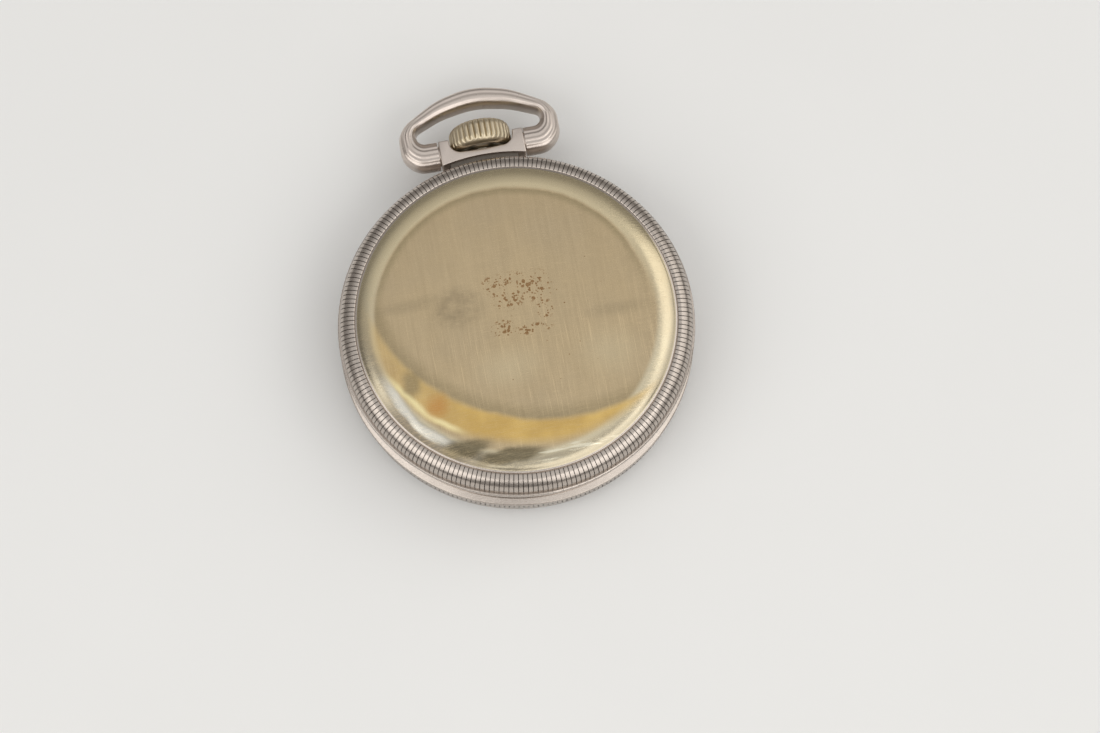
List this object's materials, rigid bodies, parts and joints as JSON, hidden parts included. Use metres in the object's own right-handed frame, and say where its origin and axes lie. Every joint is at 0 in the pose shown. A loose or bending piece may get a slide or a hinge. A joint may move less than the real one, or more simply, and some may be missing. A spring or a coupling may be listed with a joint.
{
  "type": "deck watch",
  "caption": "Open-face deck watch lying on its crystal: screw-on milled back and bezel, fluted crown, swinging bow, full lever movement.",
  "frame": {"origin": "where the watch's axis meets the surface that it rests on, at the crystal's flat front", "axes": "+Z out through the back, along the axis that the hands turn about; +Y out through the pendant and crown; +X to the right seen from the back"},
  "size_m": [0.0512, 0.0632, 0.0146],
  "materials": {
    "case_back": "polished nickel silver, warm, scratched",
    "case_rim": "polished nickel silver",
    "bow_metal": "worn satin nickel silver",
    "crown_metal": "worn nickel, yellowed",
    "crystal": "clear, polished",
    "gasket": "matt",
    "dial_enamel": "white, smooth",
    "blued_steel": "blued",
    "nickel_plate": "damascened nickel",
    "jewel": "polished ruby",
    "gilt_brass": "gilt",
    "spring_steel": "blued",
    "steel": "polished"
  },
  "bodies": {
    "case": {"case_middle": "case_rim", "pendant": "bow_metal", "pendant_sleeve": "steel", "case_screws": "steel", "pillar_plate": "nickel_plate", "barrel_bridge": "nickel_plate", "train_bridge": "nickel_plate", "balance_cock": "nickel_plate", "pallet_bridge": "nickel_plate", "bridge_screws": "steel", "train_jewels": "jewel", "balance_end_stones": "jewel", "crown_wheel_screw": "steel", "keyless_springs": "spring_steel", "keyless_posts": "steel", "clutch_yoke": "steel", "dial": "dial_enamel", "dial_foot_screws": "steel", "hairspring_stud": "steel"},
    "back_ring": {"back_gasket": "gasket"},
    "back": {"back_cover": "case_back"},
    "glass": {"crystal": "crystal"},
    "front": {"bezel": "case_rim"},
    "bow": {"bow": "bow_metal"},
    "clutch": {"sliding_clutch": "steel"},
    "crown": {"crown": "crown_metal", "winding_stem": "steel"},
    "winding_pinion": {"winding_pinion": "steel"},
    "crown_wheel": {"crown_wheel": "steel"},
    "winding_arbor": {"ratchet_wheel": "steel", "ratchet_screw": "steel", "barrel_arbor": "steel"},
    "click": {"click": "steel"},
    "barrel": {"mainspring_barrel": "gilt_brass", "barrel_cover": "gilt_brass", "mainspring": "spring_steel"},
    "centre": {"centre_pinion": "steel", "centre_wheel": "gilt_brass", "cannon_pinion": "steel", "minute_hand": "blued_steel"},
    "third": {"third_pinion": "steel", "third_wheel": "gilt_brass"},
    "fourth": {"fourth_pinion": "steel", "fourth_wheel": "gilt_brass", "seconds_hand": "blued_steel"},
    "escape": {"escape_pinion": "steel", "escape_wheel": "steel"},
    "hour": {"hour_wheel": "gilt_brass", "hour_hand": "blued_steel"},
    "minute": {"minute_wheel": "gilt_brass"},
    "setting": {"setting_wheel": "steel"},
    "pallet": {"pallet_fork": "steel", "pallet_arbor": "steel"},
    "balance": {"balance_wheel": "gilt_brass", "timing_screws": "gilt_brass", "balance_staff": "steel", "roller_table": "steel", "hairspring": "spring_steel"},
    "regulator": {"regulator": "steel"},
    "setting_lever": {"setting_lever": "steel"}
  },
  "joints": [
    {"name": "bow_swing", "type": "hinge", "parent": "case", "child": "bow", "pos_m": [0, 0.02825, 0.0078], "axis": [1, 0, 0], "range_deg": [-85, 85]},
    {"name": "back_unscrew", "type": "hinge", "parent": "case", "child": "back_ring", "pos_m": [0, 0, 0.0078], "axis": [0, 0, 1], "range_deg": [0, 1080]},
    {"name": "back_lift", "type": "slide", "parent": "back_ring", "child": "back", "axis": [0, 0, 1], "range_m": [0, 0.06]},
    {"name": "bezel_unscrew", "type": "hinge", "parent": "front", "child": "glass", "pos_m": [0, 0, 0.0078], "axis": [0, 0, 1], "range_deg": [0, 1080]},
    {"name": "case_lift", "type": "slide", "parent": "glass", "child": "case", "axis": [0, 0, 1], "range_m": [0, 0.02]},
    {"name": "crown_turn", "type": "hinge", "parent": "case", "child": "clutch", "pos_m": [0, 0.02795, 0.0078], "axis": [0, 1, 0], "continuous": true},
    {"name": "crown_pull", "type": "slide", "parent": "clutch", "child": "crown", "axis": [0, 1, 0], "range_m": [0, 0.0006]},
    {"name": "setting_lever_turn", "type": "hinge", "parent": "case", "child": "setting_lever", "pos_m": [0.0046, 0.0174, 0.0045], "axis": [0, 0, 1], "range_deg": [-8, 0]},
    {"name": "winding_pinion_turn", "type": "hinge", "parent": "case", "child": "winding_pinion", "pos_m": [0, 0.01612, 0.0078], "axis": [0, 1, 0], "continuous": true},
    {"name": "crown_wheel_turn", "type": "hinge", "parent": "case", "child": "crown_wheel", "pos_m": [0, 0.0126, 0.0078], "axis": [0, 0, 1], "continuous": true},
    {"name": "ratchet_turn", "type": "hinge", "parent": "case", "child": "winding_arbor", "pos_m": [0.00791, 0.00554, 0.0078], "axis": [0, 0, 1], "continuous": true},
    {"name": "click_lift", "type": "hinge", "parent": "case", "child": "click", "pos_m": [0.0164, 0.0049, 0.0078], "axis": [0, 0, 1], "range_deg": [0, 8]},
    {"name": "minute_turn", "type": "hinge", "parent": "case", "child": "centre", "pos_m": [0, 0, 0.0078], "axis": [0, 0, 1], "continuous": true},
    {"name": "barrel_turn", "type": "hinge", "parent": "case", "child": "barrel", "pos_m": [0.00791, 0.00554, 0.0078], "axis": [0, 0, 1], "continuous": true},
    {"name": "third_turn", "type": "hinge", "parent": "case", "child": "third", "pos_m": [-0.00589, -0.0062, 0.0078], "axis": [0, 0, 1], "continuous": true},
    {"name": "seconds_turn", "type": "hinge", "parent": "case", "child": "fourth", "pos_m": [0, -0.0096, 0.0078], "axis": [0, 0, 1], "continuous": true},
    {"name": "escape_turn", "type": "hinge", "parent": "case", "child": "escape", "pos_m": [0.00286, -0.01455, 0.0078], "axis": [0, 0, 1], "continuous": true},
    {"name": "hour_turn", "type": "hinge", "parent": "case", "child": "hour", "pos_m": [0, 0, 0.0078], "axis": [0, 0, 1], "continuous": true},
    {"name": "minute_wheel_turn", "type": "hinge", "parent": "case", "child": "minute", "pos_m": [0, 0.0048, 0.0078], "axis": [0, 0, 1], "continuous": true},
    {"name": "setting_wheel_turn", "type": "hinge", "parent": "case", "child": "setting", "pos_m": [0, 0.0102, 0.0078], "axis": [0, 0, 1], "continuous": true},
    {"name": "pallet_swing", "type": "hinge", "parent": "case", "child": "pallet", "pos_m": [0.00603, -0.01205, 0.0078], "axis": [0, 0, 1], "range_deg": [-4, 4]},
    {"name": "balance_swing", "type": "hinge", "parent": "case", "child": "balance", "pos_m": [0.0104, -0.0086, 0.0078], "axis": [0, 0, 1], "range_deg": [-270, 270]},
    {"name": "regulator_turn", "type": "hinge", "parent": "case", "child": "regulator", "pos_m": [0.0104, -0.0086, 0.0078], "axis": [0, 0, 1], "range_deg": [-18, 18]}
  ],
  "couplings": [
    {"joint": "barrel_turn", "follows": "minute_turn", "ratio": -0.15},
    {"joint": "third_turn", "follows": "minute_turn", "ratio": -8},
    {"joint": "seconds_turn", "follows": "minute_turn", "ratio": 60},
    {"joint": "escape_turn", "follows": "minute_turn", "ratio": -600},
    {"joint": "hour_turn", "follows": "minute_turn", "ratio": 0.083333},
    {"joint": "minute_wheel_turn", "follows": "minute_turn", "ratio": -0.33333},
    {"joint": "setting_wheel_turn", "follows": "minute_turn", "ratio": 0.66667},
    {"joint": "winding_pinion_turn", "follows": "crown_turn", "ratio": 1},
    {"joint": "crown_wheel_turn", "follows": "crown_turn", "ratio": -0.60714},
    {"joint": "ratchet_turn", "follows": "crown_turn", "ratio": 0.31481},
    {"joint": "setting_lever_turn", "follows": "crown_pull", "rad_per_m": -217.39}
  ]
}
